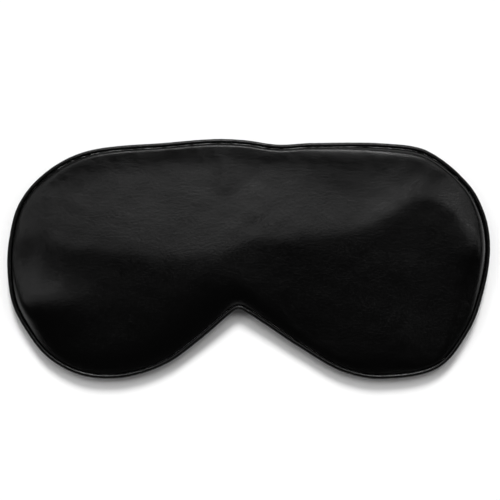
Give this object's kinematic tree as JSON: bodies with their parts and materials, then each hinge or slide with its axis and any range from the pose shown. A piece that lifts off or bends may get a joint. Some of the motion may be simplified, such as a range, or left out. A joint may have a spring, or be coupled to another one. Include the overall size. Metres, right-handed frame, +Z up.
{
  "type": "sleep eye mask",
  "caption": "Padded black satin sleep mask with piping all round and an adjustable elastic strap tucked behind it.",
  "frame": {"origin": "middle of the mask's outline on the surface it lies on", "axes": "+X along the width, +Y towards the brow, +Z up out of the satin front"},
  "size_m": [0.2149, 0.1068, 0.012],
  "materials": {
    "satin": "black satin, soft sheen",
    "lining": "matt black cloth",
    "wadding": "white wadding",
    "cord": "twisted cotton cord",
    "thread": "black sewing thread",
    "elastic": "black woven elastic",
    "hardware": "black moulded plastic"
  },
  "bodies": {
    "mask": {"front_panel": "satin", "back_panel": "satin", "piping_cover": "satin", "piping_cord": "cord", "light_block_lining": "lining", "back_lining": "lining", "filling": "wadding", "seam_needle_thread": "thread", "seam_bobbin_thread": "thread", "closing_stitch": "thread", "strap_left_run": "elastic", "strap_right_run": "elastic", "left_end_tack": "thread", "right_end_tack": "thread"},
    "strap": {"strap_main_run": "elastic", "strap_return_run": "elastic", "ring": "hardware", "ring_loop": "elastic", "ring_loop_tack": "thread"},
    "slider": {"slider": "hardware", "slider_end_loop": "elastic", "slider_tack": "thread"}
  },
  "joints": [
    {"name": "strap_stretch", "type": "slide", "parent": "mask", "child": "strap", "axis": [0, 0, -1], "range_m": [0, 0.04], "stiffness_N_per_m": 100, "deforming": ["strap_left_run", "strap_right_run"]},
    {"name": "slider_slide", "type": "slide", "parent": "strap", "child": "slider", "axis": [1, 0, 0], "range_m": [0, 0.042], "deforming": ["strap_return_run"]}
  ]
}
